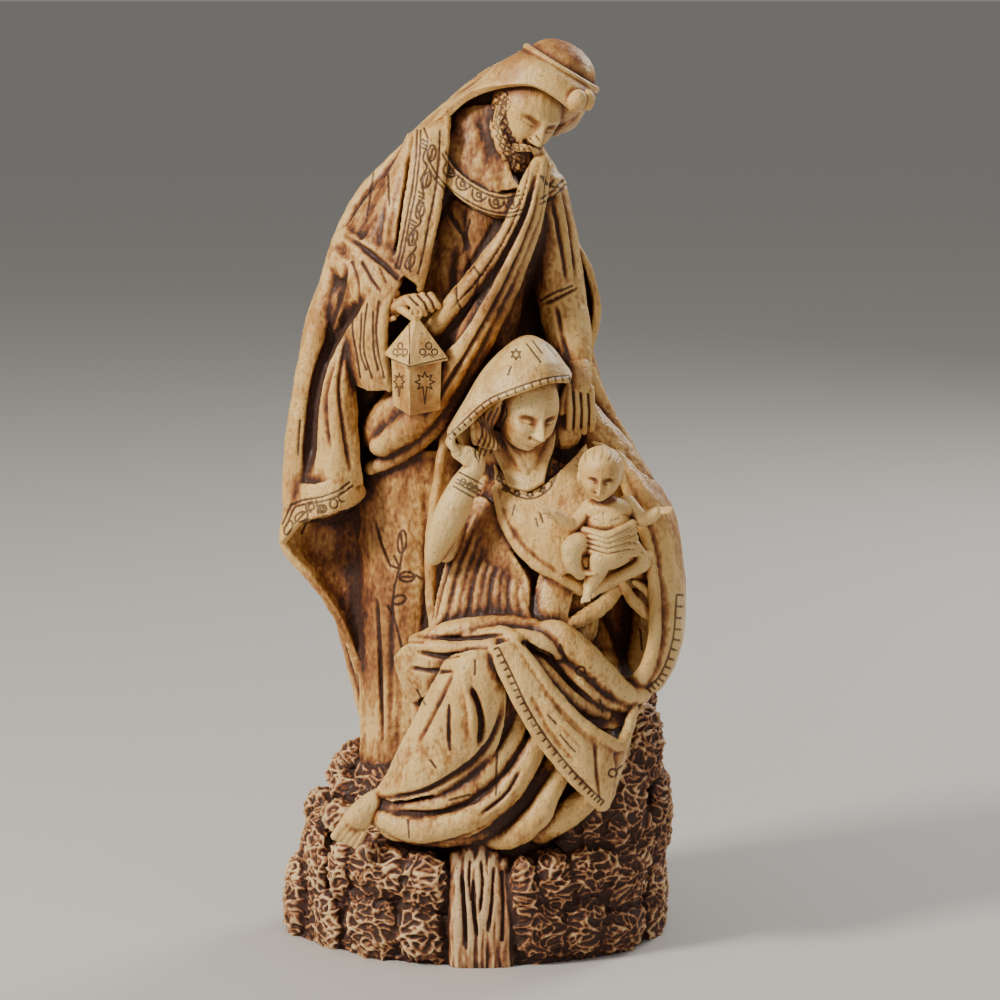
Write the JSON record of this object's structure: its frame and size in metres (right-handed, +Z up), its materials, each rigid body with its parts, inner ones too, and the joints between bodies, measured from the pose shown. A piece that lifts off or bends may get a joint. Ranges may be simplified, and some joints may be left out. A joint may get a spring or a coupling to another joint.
{
  "type": "holy family statue",
  "caption": "Cast resin mantel figurine: a robed father holding a lantern stands behind a seated mother with a baby on her lap, on a bark covered tree stump base.",
  "frame": {"origin": "centre of the stump's flat underside, on the floor", "axes": "+Z up, -Y to the front, the way the group is seen, +X to the viewer's right"},
  "size_m": [0.1315, 0.1058, 0.2931],
  "materials": {
    "resin": "satin cream with a brown antique wash in the recesses"
  },
  "bodies": {
    "root": {"holy_family_statue": "resin"}
  },
  "joints": []
}
